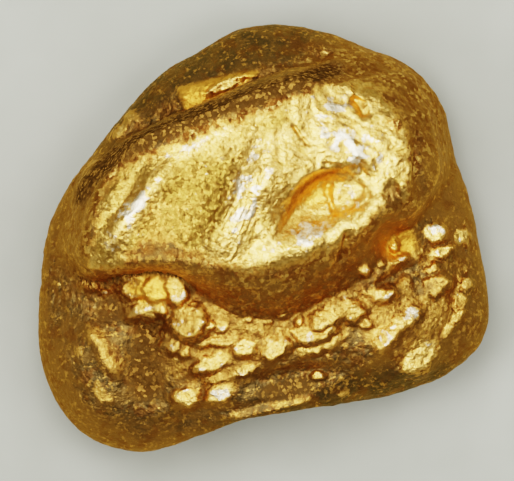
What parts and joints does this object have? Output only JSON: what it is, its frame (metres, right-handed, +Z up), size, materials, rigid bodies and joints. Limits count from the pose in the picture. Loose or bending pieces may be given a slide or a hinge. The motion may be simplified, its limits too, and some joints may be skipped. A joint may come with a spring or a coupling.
{
  "type": "gold nugget",
  "caption": "Small water-worn nugget of native gold with a burnished raised slab over a rubbly terrace, resting on a worn flat underside.",
  "frame": {"origin": "under the middle of the nugget's box, on the surface that it rests on", "axes": "+X along the nugget's longest extent, towards its blunt right end; +Y towards the shelf behind the slab; +Z up, out of the burnished slab"},
  "size_m": [0.0046, 0.0042, 0.003],
  "materials": {
    "native_gold": "native gold, burnished on the raised slab and browner in the hollows and on the flanks"
  },
  "bodies": {
    "root": {"nugget": "native_gold"}
  },
  "joints": []
}
